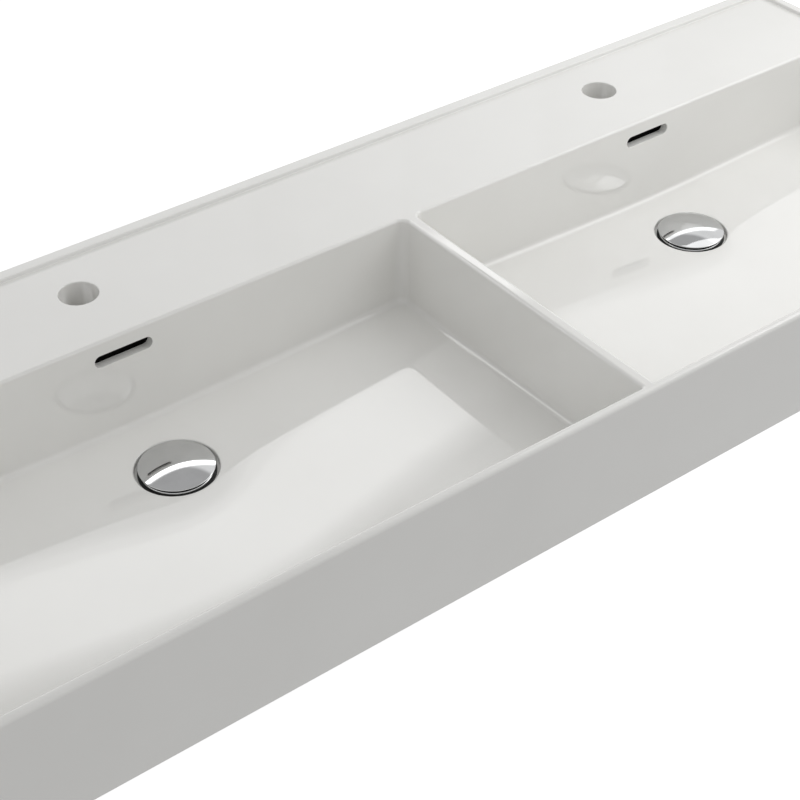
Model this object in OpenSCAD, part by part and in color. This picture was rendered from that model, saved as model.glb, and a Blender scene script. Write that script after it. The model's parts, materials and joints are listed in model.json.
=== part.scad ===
// Double washbasin: one hollow glazed casting with two bowls, and a click-clack waste in each.
// Lengths are in millimetres. The wall face is the plane Y = 0, the front looks towards -Y,
// and the origin is the middle of the wall fixing holes.

/* [Basin] */
// Overall width, end to end
basin_w = 1200; // [1160:10:1400]
// Overall depth, wall face to front face
basin_d = 460; // [445:5:500]
// Height of the deck and the front rim above the underside
deck_h = 116; // [113:1:140]
// Radius of the outer upright corners
outer_corner_r = 6; // [5:0.5:9]
// Rounding of the bowl edges and of the front edge
edge_r = 3.5; // [2:0.5:3.5]
// Thickness of the deck over the hollow underside
deck_t = 10; // [8:0.5:12]
// Thickness of the bowl floors
floor_t = 9; // [8:0.5:12]
// Thickness of the skirts round the hollow underside
skirt_t = 11; // [9:0.5:13]
// Radius of the corners inside the hollow underside
hollow_corner_r = 14; // [6:1:20]

/* [Lip] */
// Width of the raised lip along the rear
lip_w = 12; // [10:0.5:14]
// Width of the raised lip along each end
end_lip_w = 9; // [8:0.5:12]
// Height of the lip above the deck
lip_h = 4; // [3:0.5:6]
// Rounding of the lip's edges
lip_edge_r = 1.4; // [0.8:0.2:1.8]
// Length over which each end lip runs down to the front rim
lip_ramp = 26; // [18:1:40]

/* [Bowls] */
// Distance from the wall face to the bowls' rear walls
bowl_rear = 138; // [130:1:145]
// Thickness of the front rim
rim_t = 8; // [8:0.5:12]
// Thickness of the divider between the bowls
divider_t = 12; // [10:0.5:16]
// Thickness of the wall behind each bowl at its top
rear_wall_t = 7.5; // [7:0.5:10]
// Height of the floor above the underside, beside the drain
floor_h = 20; // [18:0.5:24]
// Fall of the floor towards the drain, per unit of length
floor_fall = 0.038; // [0.02:0.002:0.045]
// Lean of the bowl walls from upright, in degrees
wall_lean = 2; // [1:0.25:4]
// Radius of the bowls' upright corners at the top
bowl_corner_r = 9; // [8:0.5:12]
// Radius of the bowls' upright corners at the foot
foot_corner_r = 12; // [10:0.5:16]
// Rounding between the walls and the floor
foot_r = 8; // [5:0.5:10]

/* [Holes] */
// Distance between the two tap holes, and between the two drains
hole_spacing = 600; // [580:5:660]
// Distance from the wall face to the tap holes
tap_y = 65; // [55:1:75]
// Diameter of a tap hole
tap_d = 35; // [33:0.5:37]
// Rounding of a tap hole's edge
tap_edge_r = 1; // [0.5:0.25:2]
// Thickness of the casting round a tap hole
tap_ledge_t = 25; // [16:1:35]
// Wall of the boss round a tap hole
tap_boss_t = 12; // [8:1:14]
// Distance from the wall face to the drains
drain_y = 211; // [205:1:235]
// Width of an overflow slot
slot_w = 55; // [40:1:58]
// Height of an overflow slot
slot_h = 12; // [8:0.5:14]
// Depth of an overflow slot's middle below the deck
slot_drop = 20; // [18:0.5:26]
// Height of the wall fixing holes above the underside
fixing_z = 65; // [55:1:75]
// Diameter of a wall fixing hole
fixing_d = 14; // [10:0.5:16]
// Distance between the inner two wall fixing holes
fixing_inner = 320; // [260:10:360]
// Distance between the outer two wall fixing holes
fixing_outer = 880; // [840:10:960]

/* [Drain seat] */
// Diameter of the recess round the waste's flange
recess_d = 72; // [70:0.5:76]
// Depth of the recess
recess_depth = 5; // [4.5:0.25:6]
// Rounding of the recess edge
recess_edge_r = 2.5; // [1.5:0.5:3]
// Diameter of the outlet hole
outlet_d = 46; // [44:0.5:48]
// Diameter of the boss round the outlet
boss_d = 88; // [84:1:100]
// Thickness of the seat over the overflow chamber
seat_t = 4; // [3:0.5:4.5]
// Diameter of the overflow chamber
chamber_d = 62; // [56:1:66]
// Height of the overflow chamber and of the duct below the floor
chamber_h = 6; // [4.5:0.5:6.5]
// Width of the overflow duct behind the bowl
duct_w = 62; // [60:1:70]
// Depth of the overflow duct behind the bowl, front to back
duct_d = 14; // [10:1:20]
// Width of the overflow duct below the floor
duct_low_w = 44; // [30:1:50]
// Wall of the overflow duct
duct_t = 8; // [6:0.5:10]

/* [Waste] */
// Outer diameter of the waste's exposed thread
tube_d = 41.9; // [41:0.1:42.5]
// Diameter of the waste's tube above the exposed thread, the thread's pitch diameter
neck_d = 40.4; // [40:0.1:41]
// Wall of the tube
tube_t = 2.4; // [2:0.1:3]
// Length of the tube below the underside of the casting
tail = 48; // [42:1:80]
// Diameter of the waste's flange
flange_d = 63; // [61:0.5:66]
// Thickness of the flange
flange_t = 2.5; // [2:0.1:3]
// Thickness of the gasket below the flange
flange_gasket_t = 1; // [0.8:0.1:1.5]
// Width of an overflow window in the tube
window_w = 14; // [8:0.5:18]
// Thickness of the tapered gasket below the casting
lower_gasket_t = 4; // [3:0.5:6]
// Thickness of the slip washer
washer_t = 1.5; // [1:0.25:2.5]
// Thickness of the back nut
nut_t = 8; // [6:0.5:12]
// Width of the back nut across its flats
nut_flats = 54; // [50:0.5:58]

/* [Cover] */
// Diameter of the drain cover
cover_d = 65.6; // [62:0.2:68]
// Rise of the dome over the cover's edge
dome_h = 4.8; // [3:0.2:7]
// Thickness of the cover at its rounded edge
cover_edge_t = 2; // [1.6:0.1:2.6]
// Thickness of the seal below the cover
seal_t = 2.4; // [2:0.1:3.2]
// Travel of the cover from closed to open
stroke = 8; // [6:0.5:9]

/* [Cartridge] */
// Outer diameter of the sleeve
sleeve_d = 13; // [12.5:0.1:15]
// Bore of the sleeve
sleeve_bore = 10; // [9.4:0.1:10.4]
// Diameter of the plunger rod
rod_d = 6; // [5:0.1:6.4]
// Diameter of the retaining pin
pin_d = 1.6; // [1.2:0.1:2]
// Diameter of the spring wire
wire_d = 0.9; // [0.7:0.05:1.1]
// Turns of the spring
turns = 8; // [6:1:10]
// Outer diameter of the spider's hub
hub_d = 20; // [18:0.5:22]
// Height of the spider's hub
hub_h = 5; // [4:0.5:7]

/* [Hidden] */

$fn = 96;
hull_fn = 32;
// How far a cut runs past the face it opens
over = 1;

// Clearances
thread_gap = 0.05;
nut_gap = 0.5;
slide_gap = 0.08;
piston_gap = 0.3;
seat_gap = 0.3;
stop_gap = 0.4;

// Levels of the casting
underside_z = -fixing_z;
deck_z = underside_z + deck_h;
floor_z = underside_z + floor_h;
seat_z = floor_z - recess_depth;
chamber_top_z = seat_z - seat_t;
chamber_z = chamber_top_z - chamber_h;
slot_z = deck_z - slot_drop;

// Plan of the right bowl, the left one being its mirror image
bowl_x0 = divider_t / 2;
bowl_x1 = basin_w / 2 - end_lip_w;
bowl_y0 = -bowl_rear;
bowl_y1 = -(basin_d - rim_t);
drain_x = hole_spacing / 2;
drain_pos = [drain_x, -drain_y];
flat_r = recess_d / 2 + recess_edge_r;
foot_arc_r = foot_corner_r - foot_r;
foot_step = 45;
arc_steps = 3;

// Plan of the hollow underside
duct_y0 = -(bowl_rear - rear_wall_t);
hollow_end_x = basin_w / 2 - skirt_t;
duct_y1 = duct_y0 + duct_d;

// Heights in the waste, measured from its seat on the casting
flange_z0 = flange_gasket_t;
flange_z1 = flange_z0 + flange_t;
seal_z0 = flange_z1 + seat_gap;
cover_z0 = seal_z0 + seal_t;
dome_z0 = cover_z0 + cover_edge_t;
dome_z1 = dome_z0 + dome_h;
dome_base_r = cover_d / 2 - cover_edge_t / 2;
dome_r = (dome_base_r * dome_base_r + dome_h * dome_h) / (2 * dome_h);
under_z = underside_z - seat_z;
tube_z = under_z - tail;
window_z0 = chamber_z - seat_z;
window_z1 = chamber_top_z - seat_z;
hub_z1 = under_z - 3;
hub_z0 = hub_z1 - hub_h;
gasket_z0 = under_z - lower_gasket_t;
washer_z0 = gasket_z0 - washer_t;
nut_z0 = washer_z0 - nut_t;
thread_z1 = nut_z0 - nut_gap;

// Seal and boss below the cover
seal_r0 = 20.5;
seal_r1 = 26;
cover_boss_r = 6;
cover_boss_h = 4;
relief_r0 = 9;
relief_r1 = 19;
relief_h = 3;

// Cartridge, from the top down
sleeve_z1 = 0;
neck_t = 2.4;
bore_z1 = sleeve_z1 - neck_t;
piston_r = sleeve_bore / 2 - piston_gap;
piston_z1 = bore_z1 - stop_gap - stroke;
piston_slot_top = 2;
piston_slot_h = stroke + pin_d + 2 * piston_gap + stop_gap;
piston_h = piston_slot_h + 2 * piston_slot_top;
piston_z0 = piston_z1 - piston_h;
pin_z = piston_z1 - piston_slot_top - piston_gap - pin_d / 2;
spring_h = turns * wire_d * 1.4 + stroke;
bore_z0 = piston_z0 - spring_h;
sleeve_z0 = bore_z0 - 1.6;
shoulder_t = 2;
shoulder_d = 17;
locknut_t = 4;
locknut_flats = 18;
spring_r = sleeve_bore / 2 - piston_gap - wire_d / 2;

// Rectangle with rounded corners, from its lowest to its highest corner
module rounded_rect(low, high, r) {
    translate([low.x + r, low.y])
        square([high.x - low.x - 2 * r, high.y - low.y]);
    translate([low.x, low.y + r])
        square([high.x - low.x, high.y - low.y - 2 * r]);
    for (x = [low.x + r, high.x - r], y = [low.y + r, high.y - r])
        translate([x, y])
            circle(r);
}

// What a rounding takes off an edge at the origin whose material lies at +x and -y
module rounding_section(r) {
    difference() {
        translate([-over, -r])
            square([r + over, r + over]);
        translate([r, -r])
            circle(r);
    }
}

// Rounding cut round the mouth of a bowl, closed at each corner by a quarter ring
module mouth_rounding(low, high, corner_r, r) {
    run_x = high.x - low.x - 2 * corner_r;
    run_y = high.y - low.y - 2 * corner_r;
    // Each entry is a run's start, its direction and its length
    runs = [
        [[low.x + corner_r, low.y], 0, run_x],
        [[high.x, low.y + corner_r], 90, run_y],
        [[high.x - corner_r, high.y], 180, run_x],
        [[low.x, high.y - corner_r], 270, run_y],
    ];
    for (run = runs)
        translate([run[0].x, run[0].y, deck_z])
            rotate([0, 0, run[1]]) {
                rotate([90, 0, 90])
                    mirror([1, 0, 0])
                        linear_extrude(run[2])
                            rounding_section(r);
                translate([0, corner_r, 0])
                    rotate([0, 0, 180])
                        rotate_extrude(angle = 90)
                            translate([corner_r, 0])
                                rounding_section(r);
            }
}

// Rounding cut along an edge that runs from the origin along +X, with the material at +Y and below
module edge_rounding(length, r) {
    rotate([90, 0, 90])
        linear_extrude(length)
            rounding_section(r);
}

// Rounding cut round a quarter of a convex upright corner of radius corner_r, centred on the origin
module corner_rounding(corner_r, r) {
    rotate_extrude(angle = 90)
        translate([corner_r, 0])
            mirror([1, 0, 0])
                rounding_section(r);
}

// Ring round the Z axis
module ring(r0, r1, h) {
    difference() {
        cylinder(r = r1, h = h);
        translate([0, 0, -over])
            cylinder(r = r0, h = h + 2 * over);
    }
}

// Height of the centre of the ball that rounds the foot of the wall at a place in the bowl
function ball_z(p) = floor_z + floor_fall * max(0, norm(p - drain_pos) - flat_r) + foot_r;

// How far that centre lies inside the bowl's outline at the top
function ball_inset(z) = foot_r / cos(wall_lean) + (deck_z - edge_r - z) * tan(wall_lean);

// Places of the balls along the foot of the bowl's four walls
foot_inset = ball_inset(ball_z([drain_x, bowl_y0]));
foot_x0 = bowl_x0 + foot_inset;
foot_x1 = bowl_x1 - foot_inset;
foot_y0 = bowl_y1 + foot_inset;
foot_y1 = bowl_y0 - foot_inset;
count_x = ceil((foot_x1 - foot_x0) / foot_step);
count_y = ceil((foot_y1 - foot_y0) / foot_step);
foot_path = concat(
    [for (i = [1 : count_x - 1], y = [foot_y0, foot_y1])
        [foot_x0 + (foot_x1 - foot_x0) * i / count_x, y]],
    [for (i = [1 : count_y - 1], x = [foot_x0, foot_x1])
        [x, foot_y0 + (foot_y1 - foot_y0) * i / count_y]],
    [for (sx = [0, 1], sy = [0, 1], i = [0 : arc_steps])
        [sx == 0 ? foot_x0 + foot_arc_r * (1 - sin(90 * i / arc_steps))
                 : foot_x1 - foot_arc_r * (1 - sin(90 * i / arc_steps)),
         sy == 0 ? foot_y0 + foot_arc_r * (1 - cos(90 * i / arc_steps))
                 : foot_y1 - foot_arc_r * (1 - cos(90 * i / arc_steps))]]
);

// The room inside the right bowl
module bowl_room() {
    hull() {
        for (x = [bowl_x0 + bowl_corner_r, bowl_x1 - bowl_corner_r],
             y = [bowl_y0 - bowl_corner_r, bowl_y1 + bowl_corner_r])
            translate([x, y, deck_z - edge_r])
                cylinder(r = bowl_corner_r, h = edge_r + lip_h + over, $fn = hull_fn);
        for (p = foot_path)
            translate([p.x, p.y, ball_z(p)])
                sphere(foot_r, $fn = hull_fn);
        translate([drain_x, -drain_y, floor_z])
            cylinder(r = flat_r, h = over, $fn = 2 * hull_fn);
    }
}

// The open hollow under the right half, which leaves the deck, the floor and the walls
module hollow_room() {
    floor_span = basin_w / 2;
    pan_h = floor_h - floor_t + floor_fall * floor_span;
    translate([0, 0, underside_z - over])
        linear_extrude(deck_h - deck_t + over)
            rounded_rect([divider_t / 2, duct_y0], [hollow_end_x, -skirt_t], hollow_corner_r);
    difference() {
        translate([0, 0, underside_z - over])
            linear_extrude(pan_h + over)
                rounded_rect([divider_t / 2, skirt_t - basin_d], [hollow_end_x, -skirt_t],
                             hollow_corner_r);
        translate([drain_x, -drain_y, floor_z - floor_t])
            cylinder(r1 = flat_r, r2 = flat_r + floor_span, h = floor_fall * floor_span);
    }
}

// The boss below the right tap hole, the boss round the outlet and the walls of the overflow duct
module inner_casting() {
    low_block_w = duct_low_w + 2 * duct_t;
    translate([drain_x, -tap_y, deck_z - tap_ledge_t])
        cylinder(d = tap_d + 2 * tap_boss_t, h = tap_ledge_t - deck_t + over);
    translate([drain_x, -drain_y, underside_z])
        cylinder(d = boss_d, h = floor_z - underside_z);
    translate([drain_x - duct_w / 2 - duct_t, duct_y0 - over, underside_z])
        cube([duct_w + 2 * duct_t, duct_d + duct_t + over, deck_h - deck_t + over]);
    translate([drain_x - low_block_w / 2, -drain_y, underside_z])
        cube([low_block_w, drain_y + duct_y0, floor_z - floor_t + over - underside_z]);
}

// The overflow's way from the slot to the chamber, the drain seat and the outlet
module drain_room() {
    translate([drain_x - duct_w / 2, duct_y0, chamber_z])
        cube([duct_w, duct_d, slot_z + slot_h / 2 + 4 - chamber_z]);
    translate([drain_x - duct_low_w / 2, -drain_y, chamber_z])
        cube([duct_low_w, drain_y + duct_y0 + over, chamber_h]);
    translate([drain_x, duct_y0 + over, slot_z])
        rotate([90, 0, 0])
            linear_extrude(rear_wall_t + slot_drop * tan(wall_lean) + 2 * over) {
                square([slot_w - slot_h, slot_h], center = true);
                for (side = [-1, 1])
                    translate([side * (slot_w - slot_h) / 2, 0])
                        circle(d = slot_h);
            }
    translate([drain_x, -drain_y, 0]) {
        translate([0, 0, chamber_z])
            cylinder(d = chamber_d, h = chamber_h);
        translate([0, 0, underside_z - over])
            cylinder(d = outlet_d, h = seat_z - underside_z + 2 * over);
        translate([0, 0, seat_z])
            cylinder(d = recess_d, h = recess_depth + over);
        translate([0, 0, floor_z])
            rotate_extrude()
                translate([recess_d / 2, 0])
                    rounding_section(recess_edge_r);
    }
}

// The raised lip: a bar along the rear, and one along each end that runs down at the front
module lip() {
    ramp_foot_y = bowl_y1;
    intersection() {
        union() {
            translate([-basin_w / 2, -lip_w, deck_z - over])
                cube([basin_w, lip_w, lip_h + over]);
            for (x = [-basin_w / 2, basin_w / 2 - end_lip_w])
                translate([x, 0, deck_z])
                    rotate([90, 0, 90])
                        linear_extrude(end_lip_w)
                            polygon([[0, -over], [0, lip_h], [ramp_foot_y + lip_ramp, lip_h],
                                     [ramp_foot_y, 0], [ramp_foot_y, -over]]);
        }
        translate([0, 0, deck_z - 2 * over])
            linear_extrude(lip_h + 3 * over)
                rounded_rect([-basin_w / 2, -basin_d], [basin_w / 2, 0], outer_corner_r);
    }
}

// Roundings of the casting's outer top edges, for the right half
module outer_roundings() {
    top_z = deck_z + lip_h;
    corner_x = basin_w / 2 - outer_corner_r;
    translate([0, 0, top_z]) {
        translate([corner_x, 0, 0])
            rotate([0, 0, 180])
                edge_rounding(corner_x, lip_edge_r);
        translate([corner_x, -outer_corner_r, 0])
            corner_rounding(outer_corner_r, lip_edge_r);
        translate([basin_w / 2, bowl_y1 + lip_ramp, 0])
            rotate([0, 0, 90])
                edge_rounding(-bowl_y1 - lip_ramp - outer_corner_r, lip_edge_r);
        translate([0, -lip_w, 0])
            edge_rounding(basin_w / 2 - end_lip_w, lip_edge_r);
        translate([basin_w / 2 - end_lip_w, -lip_w, 0])
            rotate([0, 0, -90])
                edge_rounding(-bowl_y1 - lip_ramp - lip_w, lip_edge_r);
    }
    translate([0, -basin_d, deck_z])
        edge_rounding(corner_x, edge_r);
    translate([corner_x, outer_corner_r - basin_d, deck_z])
        rotate([0, 0, -90])
            corner_rounding(outer_corner_r, edge_r);
}

// The tap hole and the wall fixing holes of the right half
module mounting_holes() {
    translate([drain_x, -tap_y, 0]) {
        translate([0, 0, deck_z - tap_ledge_t - over])
            cylinder(d = tap_d, h = tap_ledge_t + 2 * over);
        translate([0, 0, deck_z])
            rotate_extrude()
                translate([tap_d / 2, 0])
                    rounding_section(tap_edge_r);
    }
    for (x = [fixing_inner / 2, fixing_outer / 2])
        translate([x, over, 0])
            rotate([90, 0, 0])
                cylinder(d = fixing_d, h = skirt_t + 2 * over);
}

// The glazed casting
module ceramic_basin() {
    color("whitesmoke")
        difference() {
            union() {
                difference() {
                    union() {
                        translate([0, 0, underside_z])
                            linear_extrude(deck_h)
                                rounded_rect([-basin_w / 2, -basin_d], [basin_w / 2, 0],
                                             outer_corner_r);
                        lip();
                    }
                    for (side = [0, 1])
                        mirror([side, 0, 0])
                            hollow_room();
                }
                for (side = [0, 1])
                    mirror([side, 0, 0])
                        inner_casting();
            }
            for (side = [0, 1])
                mirror([side, 0, 0]) {
                    bowl_room();
                    intersection() {
                        mouth_rounding([bowl_x0, bowl_y1], [bowl_x1, bowl_y0], bowl_corner_r,
                                       edge_r);
                        translate([0, -basin_d, deck_z - 2 * edge_r])
                            cube([bowl_x1, basin_d, 3 * edge_r]);
                    }
                    drain_room();
                    outer_roundings();
                    mounting_holes();
                }
        }
}

// Domed cap with a threaded boss below it
module drain_cover() {
    color("gainsboro")
        difference() {
            union() {
                intersection() {
                    translate([0, 0, dome_z1 - dome_r])
                        sphere(dome_r, $fn = 180);
                    translate([0, 0, cover_z0])
                        cylinder(r = dome_base_r, h = cover_edge_t + dome_h + over);
                }
                translate([0, 0, cover_z0 + cover_edge_t / 2])
                    rotate_extrude()
                        translate([dome_base_r, 0])
                            circle(d = cover_edge_t, $fn = 32);
                translate([0, 0, cover_z0 - cover_boss_h])
                    cylinder(r = cover_boss_r, h = cover_boss_h + over);
            }
            translate([0, 0, cover_z0 - over])
                ring(relief_r0, relief_r1, relief_h + over);
            translate([0, 0, cover_z0 - cover_boss_h - over])
                cylinder(d = rod_d + 2 * thread_gap, h = cover_boss_h + relief_h + over);
        }
}

// Rubber ring below the cap, which closes on the flange
module cover_seal() {
    color("dimgray")
        translate([0, 0, seal_z0])
            rotate_extrude()
                polygon([[seal_r0, seal_t], [seal_r0, 0], [seal_r1 - seal_t / 2, 0],
                         [seal_r1, seal_t]]);
}

// Rod and piston that carry the cap, with a slot that runs on the retaining pin
module plunger_stem() {
    color("goldenrod")
        difference() {
            union() {
                translate([0, 0, piston_z0])
                    cylinder(r = piston_r, h = piston_h);
                translate([0, 0, piston_z1 - over])
                    cylinder(d = rod_d, h = cover_z0 + relief_h - piston_z1 + over);
            }
            translate([-piston_r - over, -pin_d / 2 - piston_gap,
                       piston_z1 - piston_slot_top - piston_slot_h])
                cube([2 * piston_r + 2 * over, pin_d + 2 * piston_gap, piston_slot_h]);
        }
}

// Sleeve with a closed foot, a neck for the rod and a shoulder that sits on the spider
module cartridge_body() {
    color("ivory")
        difference() {
            union() {
                translate([0, 0, sleeve_z0])
                    cylinder(d = sleeve_d, h = sleeve_z1 - sleeve_z0);
                translate([0, 0, hub_z1])
                    cylinder(d = shoulder_d, h = shoulder_t);
            }
            translate([0, 0, bore_z0])
                cylinder(d = sleeve_bore, h = bore_z1 - bore_z0);
            translate([0, 0, bore_z1 - over])
                cylinder(d = rod_d + 2 * slide_gap, h = neck_t + 2 * over);
            translate([-sleeve_d, 0, pin_z])
                rotate([0, 90, 0])
                    cylinder(d = pin_d + 2 * thread_gap, h = 2 * sleeve_d, $fn = 32);
        }
}

// Compression spring between the sleeve's foot and the piston, as one wound wire
module cartridge_spring() {
    sides = 6;
    steps = 16;
    rings = turns * steps;
    rise = spring_h - wire_d;
    points = [for (i = [0 : rings], j = [0 : sides - 1])
        let (a = 360 * i / steps,
             b = 360 * j / sides,
             r = spring_r + wire_d / 2 * cos(b))
            [r * cos(a), r * sin(a), wire_d / 2 * (1 + sin(b)) + rise * i / rings]];
    walls = [for (i = [0 : rings - 1], j = [0 : sides - 1], half = [0, 1])
        let (k = (j + 1) % sides,
             a = i * sides,
             b = a + sides)
            half == 0 ? [a + j, b + j, b + k] : [a + j, b + k, a + k]];
    color("silver")
        translate([0, 0, bore_z0])
            polyhedron(points, concat([[for (j = [0 : sides - 1]) j]], walls,
                [[for (j = [sides - 1 : -1 : 0]) rings * sides + j]]));
}

// Pin across the sleeve that ends the cap's travel
module retaining_pin() {
    color("silver")
        translate([-sleeve_d / 2, 0, pin_z])
            rotate([0, 90, 0])
                cylinder(d = pin_d, h = sleeve_d, $fn = 32);
}

// Nut that holds the sleeve to the spider
module cartridge_locknut() {
    color("goldenrod")
        translate([0, 0, hub_z0 - locknut_t])
            difference() {
                cylinder(d = locknut_flats / cos(30), h = locknut_t, $fn = 6);
                translate([0, 0, -over])
                    cylinder(d = sleeve_d + 2 * thread_gap, h = locknut_t + 2 * over);
            }
}

// Flange, tube with four overflow windows, and the spider that carries the cartridge
module waste_body() {
    bore_r = tube_d / 2 - tube_t;
    arm_w = 5;
    arm_r0 = hub_d / 2 - 1.5;
    arm_h = hub_h - 1;
    color("gainsboro") {
        difference() {
            union() {
                translate([0, 0, tube_z])
                    cylinder(d = tube_d, h = thread_z1 - tube_z);
                translate([0, 0, tube_z])
                    cylinder(d = neck_d, h = flange_z1 - tube_z);
                translate([0, 0, flange_z0])
                    cylinder(d = flange_d, h = flange_t);
            }
            translate([0, 0, tube_z - over])
                cylinder(r = bore_r, h = flange_z1 - tube_z + 2 * over);
            for (turn = [0 : 90 : 270])
                rotate([0, 0, turn + 45])
                    translate([0, -window_w / 2, window_z0])
                        cube([tube_d, window_w, window_z1 - window_z0]);
        }
        difference() {
            union() {
                translate([0, 0, hub_z0])
                    cylinder(d = hub_d, h = hub_h);
                for (turn = [60 : 120 : 300])
                    rotate([0, 0, turn])
                        translate([arm_r0, -arm_w / 2, hub_z0 + (hub_h - arm_h) / 2])
                            cube([bore_r + tube_t / 2 - arm_r0, arm_w, arm_h]);
            }
            translate([0, 0, hub_z0 - over])
                cylinder(d = sleeve_d + 2 * thread_gap, h = hub_h + 2 * over);
        }
    }
}

// Flat ring below the flange
module flange_gasket() {
    color("black")
        ring(outlet_d / 2 + thread_gap, flange_d / 2 + 2, flange_gasket_t);
}

// Tapered rubber ring below the casting, whose collar centres the tube in the outlet
module lower_gasket() {
    collar_h = 3;
    inner_r = neck_d / 2 + thread_gap;
    color("black")
        translate([0, 0, gasket_z0])
            rotate_extrude()
                polygon([[inner_r, 0], [nut_flats / 2 + 2, 0], [nut_flats / 2 + 4, lower_gasket_t],
                         [outlet_d / 2 - slide_gap, lower_gasket_t],
                         [outlet_d / 2 - 4 * slide_gap, lower_gasket_t + collar_h],
                         [inner_r, lower_gasket_t + collar_h]]);
}

// Thin washer on which the nut turns
module slip_washer() {
    color("lightgray")
        translate([0, 0, washer_z0])
            ring(tube_d / 2 + thread_gap, nut_flats / 2 + 2, washer_t);
}

// Six-sided nut that clamps the waste to the casting
module back_nut() {
    color("goldenrod")
        translate([0, 0, nut_z0])
            difference() {
                cylinder(d = nut_flats / cos(30), h = nut_t, $fn = 6);
                translate([0, 0, -over])
                    cylinder(d = neck_d + 2 * thread_gap, h = nut_t + 2 * over);
            }
}

// Puts a piece of the waste on the left drain seat, side = -1, or the right one, side = 1
module at_drain(side) {
    translate([side * drain_x, -drain_y, seat_z])
        children();
}

ceramic_basin();
at_drain(-1) drain_cover();  // left_drain_cover
at_drain(-1) cover_seal();  // left_cover_seal
at_drain(-1) plunger_stem();  // left_plunger_stem
at_drain(-1) cartridge_body();  // left_cartridge_body
at_drain(-1) cartridge_spring();  // left_cartridge_spring
at_drain(-1) retaining_pin();  // left_retaining_pin
at_drain(-1) cartridge_locknut();  // left_cartridge_locknut
at_drain(-1) waste_body();  // left_waste_body
at_drain(-1) flange_gasket();  // left_flange_gasket
at_drain(-1) lower_gasket();  // left_lower_gasket
at_drain(-1) slip_washer();  // left_slip_washer
at_drain(-1) back_nut();  // left_back_nut
at_drain(1) drain_cover();  // right_drain_cover
at_drain(1) cover_seal();  // right_cover_seal
at_drain(1) plunger_stem();  // right_plunger_stem
at_drain(1) cartridge_body();  // right_cartridge_body
at_drain(1) cartridge_spring();  // right_cartridge_spring
at_drain(1) retaining_pin();  // right_retaining_pin
at_drain(1) cartridge_locknut();  // right_cartridge_locknut
at_drain(1) waste_body();  // right_waste_body
at_drain(1) flange_gasket();  // right_flange_gasket
at_drain(1) lower_gasket();  // right_lower_gasket
at_drain(1) slip_washer();  // right_slip_washer
at_drain(1) back_nut();  // right_back_nut
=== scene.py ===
"""Looks of a double washbasin with two click-clack wastes.

The casting, the drain covers, the waste bodies and the back nuts are modelled again with fine
roundings, threads and bevels. Every other piece keeps its CAD shape and gets its finish here.
All lengths are in metres.
"""

import json
import math

import bmesh
import bpy
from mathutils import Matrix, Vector


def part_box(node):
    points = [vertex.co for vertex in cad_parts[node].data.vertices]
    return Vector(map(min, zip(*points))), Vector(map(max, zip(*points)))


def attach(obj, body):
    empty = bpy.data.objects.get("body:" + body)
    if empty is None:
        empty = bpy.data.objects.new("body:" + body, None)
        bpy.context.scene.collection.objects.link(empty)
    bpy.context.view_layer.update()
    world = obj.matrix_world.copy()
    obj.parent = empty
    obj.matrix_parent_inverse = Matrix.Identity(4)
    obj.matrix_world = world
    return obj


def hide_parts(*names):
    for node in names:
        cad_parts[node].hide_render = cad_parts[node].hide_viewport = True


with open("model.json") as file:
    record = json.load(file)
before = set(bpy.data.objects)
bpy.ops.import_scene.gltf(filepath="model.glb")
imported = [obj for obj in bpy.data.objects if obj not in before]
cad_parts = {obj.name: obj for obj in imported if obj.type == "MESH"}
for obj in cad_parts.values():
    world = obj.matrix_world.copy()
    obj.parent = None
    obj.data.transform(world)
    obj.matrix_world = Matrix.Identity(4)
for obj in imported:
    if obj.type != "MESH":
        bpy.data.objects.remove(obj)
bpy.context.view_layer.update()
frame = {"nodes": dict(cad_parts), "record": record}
mounts = {m["name"]: Vector(m["pos_m"]) for m in frame["record"]["mounts"]}

# Outside of the casting
CAST_LOW, CAST_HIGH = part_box("ceramic_basin")
LIP_H = 0.004
LIP_W = 0.012
END_LIP_W = 0.009
LIP_EDGE_R = 0.0014
LIP_FOOT_R = 0.001
LIP_CORNER_R = 0.0035
LIP_RAMP = 0.026
DECK_Z = CAST_HIGH.z - LIP_H
DECK_T = 0.010
FLOOR_T = 0.009
SKIRT_T = 0.011
HOLLOW_CORNER_R = 0.014
OUTER_CORNER_R = 0.006
FRONT_EDGE_R = 0.004
BASE_EDGE_R = 0.0015

# Bowls. A list has one value for each side: front, outer end, rear and divider.
FRONT, END, REAR, DIVIDER = range(4)
RIM_T = 0.008
DIVIDER_T = 0.012
BOWL_REAR = 0.138
BOWL_DEPTH = 0.096
MOUTH_R = [0.0025, 0.0, 0.003, 0.0035]
WALL_LEAN = math.radians(2)
# Upright corners from the one after the front side, and how far their radius grows with the
# mouth's rounding
BOWL_CORNER_R = [0.003, 0.009, 0.009, 0.003]
CORNER_FLARE = [0.0, 1.0, 1.0, 0.0]
FOOT_CORNER_R = 0.012
FOOT_R = 0.006
FLOOR_FALL = 0.038

# Drain and the chamber round its outlet
WASTE_LOW, WASTE_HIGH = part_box("right_waste_body")
DRAIN = (WASTE_LOW + WASTE_HIGH) / 2
RECESS_R = 0.036
RECESS_DEPTH = 0.005
RECESS_EDGE_R = 0.0015
OUTLET_R = 0.023
CHAMBER_R = 0.031
CHAMBER_H = 0.006
SEAT_T = 0.004
DRAIN_BOSS_R = 0.044

# Overflow: the slot, the duct behind the bowl and the low duct below its floor
SLOT_W = 0.055
SLOT_H = 0.0114
SLOT_DROP = 0.0195
SLOT_EDGE_R = 0.0003
REAR_WALL_T = 0.0075
DUCT_W = 0.062
DUCT_D = 0.014
DUCT_R = 0.003
DUCT_HEAD = 0.004
DUCT_LOW_W = 0.044
DUCT_LOW_R = 0.001
DUCT_WALL = 0.008
DUCT_WALL_R = 0.002

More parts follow.
